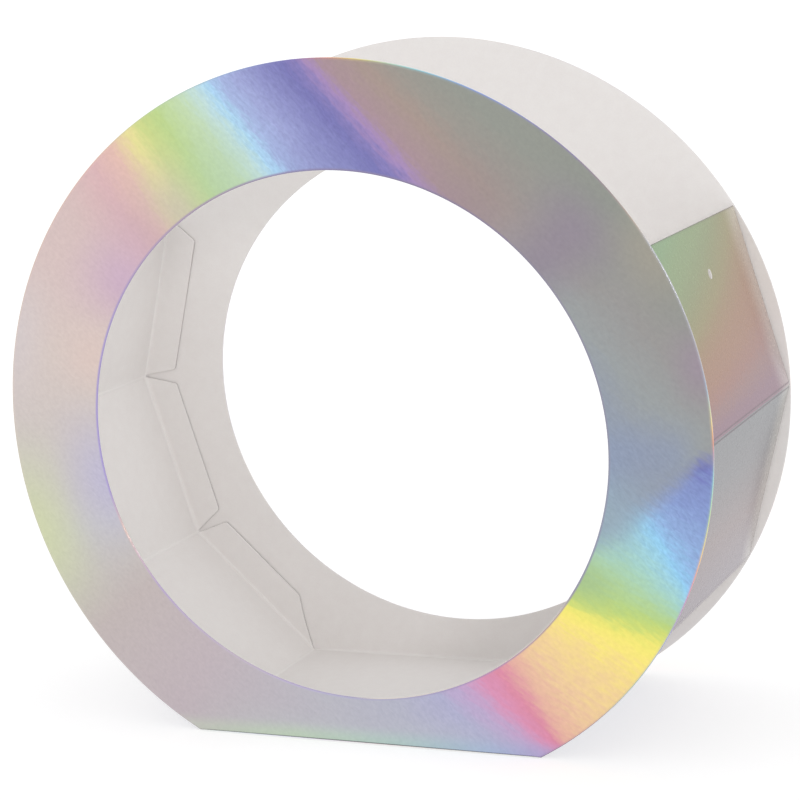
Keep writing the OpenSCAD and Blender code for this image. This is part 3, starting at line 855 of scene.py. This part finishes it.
for name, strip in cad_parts.items():
    if name.endswith("_tape"):
        strip.data.materials.clear()
        strip.data.materials.append(tape)


# Studio
# A white table lit from below, even white light all around, and a large soft lamp close to the camera, which
# stands where the photograph was taken. The table's glow leaves only a faint shadow at the foot.
FLOOR_HALF = 30.0
FLOOR_Z = -0.2 * MM
FLOOR_GLOW = 0.57
AIR_GLOW = 0.93
LAMP_POWER = 0.38
LAMP_SPREAD = math.radians(12)
LAMP_WAY = Vector((-0.554, 0.791, -0.259))
CAMERA_AT = Vector((398.944, -855.679, 317.441)) * MM
CAMERA_TURN = math.radians(24.914)
CAMERA_TILT = math.radians(11.331)
CAMERA_ROLL = math.radians(-4.261)
FOCAL_LENGTH = 106.13
floor_data = bpy.data.meshes.new("studio_floor")
floor_ends = [(x * FLOOR_HALF, y * FLOOR_HALF, FLOOR_Z) for x, y in ((-1, -1), (1, -1), (1, 1), (-1, 1))]
floor_data.from_pydata(floor_ends, [], [(0, 1, 2, 3)])
floor = bpy.data.objects.new("studio_floor", floor_data)
bpy.context.scene.collection.objects.link(floor)
lit_acrylic = bpy.data.materials.new("studio_lit_acrylic")
lit_acrylic.use_nodes = True
shader = lit_acrylic.node_tree.nodes["Principled BSDF"]
shader.inputs["Base Color"].default_value = tone("#BEBEBE")
shader.inputs["Roughness"].default_value = 0.9
shader.inputs["Emission Color"].default_value = tone("#FFFFFF")
shader.inputs["Emission Strength"].default_value = FLOOR_GLOW
floor_data.materials.append(lit_acrylic)

world = bpy.data.worlds.new("studio_air")
world.use_nodes = True
world.node_tree.nodes["Background"].inputs["Color"].default_value = tone("#FFFFFF")
world.node_tree.nodes["Background"].inputs["Strength"].default_value = AIR_GLOW
bpy.context.scene.world = world
key = bpy.data.lights.new("softbox_key", "SUN")
key.energy = LAMP_POWER
key.angle = LAMP_SPREAD
lamp = bpy.data.objects.new("softbox_key", key)
lamp.rotation_euler = LAMP_WAY.to_track_quat("-Z", "Y").to_euler()
bpy.context.scene.collection.objects.link(lamp)
bpy.context.scene.view_settings.view_transform = "Standard"

backward = Vector((math.sin(CAMERA_TURN) * math.cos(CAMERA_TILT),
                   -math.cos(CAMERA_TURN) * math.cos(CAMERA_TILT), math.sin(CAMERA_TILT)))
rightward = Vector((0, 0, 1)).cross(backward).normalized()
upward = backward.cross(rightward)
rolled_right = rightward * math.cos(CAMERA_ROLL) + upward * math.sin(CAMERA_ROLL)
rolled_up = upward * math.cos(CAMERA_ROLL) - rightward * math.sin(CAMERA_ROLL)
camera_axes = Matrix((rolled_right, rolled_up, backward)).transposed()
lens = bpy.data.cameras.new("photo_camera")
lens.sensor_width = 36.0
lens.lens = FOCAL_LENGTH
lens.clip_start = 0.01
camera = bpy.data.objects.new("photo_camera", lens)
camera.matrix_world = Matrix.Translation(CAMERA_AT) @ camera_axes.to_4x4()
bpy.context.scene.collection.objects.link(camera)
bpy.context.scene.camera = camera
